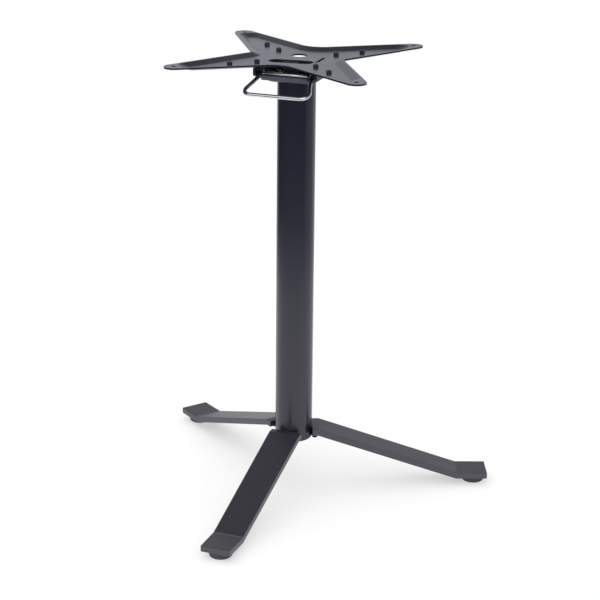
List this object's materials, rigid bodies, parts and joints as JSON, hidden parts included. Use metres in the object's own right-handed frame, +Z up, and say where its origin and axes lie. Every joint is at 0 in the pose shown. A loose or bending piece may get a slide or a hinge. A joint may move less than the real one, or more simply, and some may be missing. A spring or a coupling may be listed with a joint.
{
  "type": "tilting table base",
  "caption": "Pedestal table base with flat bar legs, a round column and an X-shaped pressed top plate that tilts up on a hinged head with a wire release handle.",
  "frame": {"origin": "on the floor, under the axis of the column", "axes": "+Z up along the column; -Y towards the front leg and the release handle; X along the tilt axis"},
  "size_m": [0.5783, 0.5263, 0.711],
  "materials": {
    "coat": "satin anthracite powder coat",
    "plate_coat": "satin anthracite powder coat",
    "zinc": "zinc plated",
    "chrome_wire": "bright chrome plate",
    "glide_plastic": "matt black",
    "black_plastic": "matt black",
    "buffer_rubber": "matt black rubber",
    "black_steel": "black phosphate"
  },
  "bodies": {
    "base": {"column_tube": "coat", "base_hub": "coat", "leg_front": "coat", "leg_right": "coat", "leg_left": "coat", "foot_glide_front": "glide_plastic", "foot_glide_right": "glide_plastic", "foot_glide_left": "glide_plastic", "leg_screws": "zinc", "tie_rod": "zinc", "tie_rod_nuts": "zinc", "tie_rod_washers": "zinc", "tilt_head": "coat", "rest_buffers": "buffer_rubber", "pivot_pin": "zinc", "pivot_clips": "zinc", "pivot_sleeves": "zinc"},
    "tilt_top": {"top_plate": "plate_coat", "hinge_lug_left": "plate_coat", "hinge_lug_right": "plate_coat", "pivot_bushes": "black_plastic", "screw_spacers": "black_plastic"},
    "handle": {"release_handle": "chrome_wire", "latch_bar": "zinc", "latch_tongue": "black_steel"}
  },
  "joints": [
    {"name": "plate_tilt", "type": "hinge", "parent": "base", "child": "tilt_top", "pos_m": [0, 0.02, 0.6895], "axis": [-1, 0, 0], "range_deg": [0, 90]},
    {"name": "handle_pull", "type": "hinge", "parent": "base", "child": "handle", "pos_m": [0, -0.038, 0.693], "axis": [-1, 0, 0], "range_deg": [0, 22]}
  ]
}
